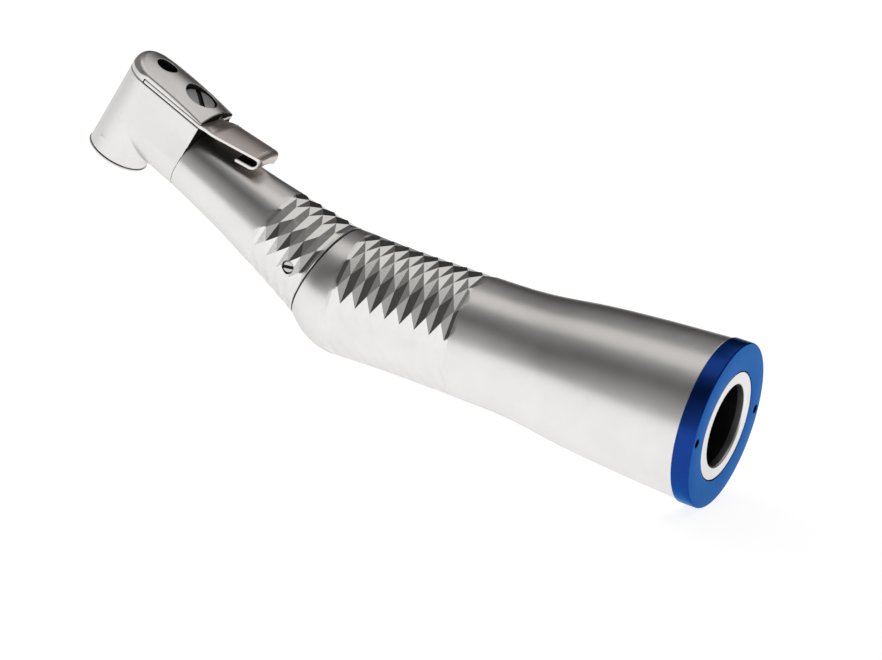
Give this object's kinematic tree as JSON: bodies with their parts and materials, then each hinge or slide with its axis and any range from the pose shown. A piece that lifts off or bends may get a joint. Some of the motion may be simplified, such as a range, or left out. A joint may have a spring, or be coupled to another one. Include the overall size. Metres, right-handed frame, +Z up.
{
  "type": "contra angle handpiece",
  "caption": "Geared dental handpiece with a bent knurled grip, a small angled head that turns a latch-type bur, a swing latch lever and a rear socket for a motor nose.",
  "frame": {"origin": "centre of the motor socket's mouth, in the plane of the rear ring's face", "axes": "+X along the body axis out of the motor socket; +Z up, the side to which the neck bends, across from the bur; +Y completes a right-handed frame and is normal to the object's middle plane"},
  "size_m": [0.0881, 0.02, 0.031],
  "materials": {
    "satin_casing": "satin",
    "lever_steel": "satin",
    "screw_steel": "machined",
    "shaft_steel": "ground",
    "gear_brass": "machined",
    "pale_sleeve": "satin",
    "blue_ring": "anodised satin",
    "black_seal": "matte",
    "spacer_alloy": "machined",
    "bearing_race": "ground",
    "bearing_balls": "polished"
  },
  "bodies": {
    "casing": {"head_housing": "satin_casing", "head_front_ring": "satin_casing", "back_cap": "satin_casing", "screw_washer": "screw_steel", "pivot_screw": "screw_steel", "upper_bearing_outer": "bearing_race", "upper_bearing_balls": "bearing_balls", "lower_bearing_outer": "bearing_race", "lower_bearing_balls": "bearing_balls", "head_retainer": "spacer_alloy", "neck_tube": "satin_casing", "neck_seal": "black_seal", "set_screw": "screw_steel", "neck_front_bearing_outer": "bearing_race", "neck_front_bearing_balls": "bearing_balls", "neck_rear_bearing_outer": "bearing_race", "neck_rear_bearing_balls": "bearing_balls", "neck_spacer": "spacer_alloy", "neck_circlip": "screw_steel", "body_sleeve": "satin_casing", "shaft_cartridge": "spacer_alloy", "body_front_bearing_outer": "bearing_race", "body_front_bearing_balls": "bearing_balls", "body_rear_bearing_outer": "bearing_race", "body_rear_bearing_balls": "bearing_balls", "cartridge_spacer": "spacer_alloy", "preload_washer": "screw_steel", "cartridge_ring": "spacer_alloy", "socket_sleeve": "pale_sleeve", "socket_oring": "black_seal", "ratio_ring": "blue_ring"},
    "latch": {"latch_lever": "lever_steel"},
    "spindle": {"bur_tube": "shaft_steel", "spindle_gear": "gear_brass", "upper_bearing_inner": "bearing_race", "lower_bearing_inner": "bearing_race"},
    "front_shaft": {"front_drive_shaft": "shaft_steel", "front_pinion": "gear_brass", "front_bend_gear": "gear_brass", "neck_front_bearing_inner": "bearing_race", "neck_rear_bearing_inner": "bearing_race"},
    "rear_shaft": {"rear_drive_shaft": "shaft_steel", "rear_bend_gear": "gear_brass", "body_front_bearing_inner": "bearing_race", "body_rear_bearing_inner": "bearing_race", "dog_pin": "screw_steel", "dog_spring": "screw_steel"},
    "dog": {"coupling_dog": "shaft_steel"}
  },
  "joints": [
    {"name": "input_spin", "type": "hinge", "parent": "casing", "child": "rear_shaft", "pos_m": [-0.049, 0, 0], "axis": [1, 0, 0], "continuous": true},
    {"name": "front_spin", "type": "hinge", "parent": "casing", "child": "front_shaft", "pos_m": [-0.049, 0, 0], "axis": [-0.9336, 0, 0.3584], "continuous": true},
    {"name": "bur_spin", "type": "hinge", "parent": "casing", "child": "spindle", "pos_m": [-0.08233, 0, 0.01279], "axis": [0.3584, 0, 0.9336], "continuous": true},
    {"name": "dog_slide", "type": "slide", "parent": "rear_shaft", "child": "dog", "axis": [-1, 0, 0], "range_m": [0, 0.002], "stiffness_N_per_m": 400, "springref_m": -0.001, "deforming": ["dog_spring"]},
    {"name": "latch_swing", "type": "hinge", "parent": "casing", "child": "latch", "pos_m": [-0.07487, 0, 0.01604], "axis": [0.3584, 0, 0.9336], "range_deg": [0, 16]}
  ],
  "couplings": [
    {"joint": "front_spin", "follows": "input_spin", "ratio": -1},
    {"joint": "bur_spin", "follows": "input_spin", "ratio": -1}
  ]
}
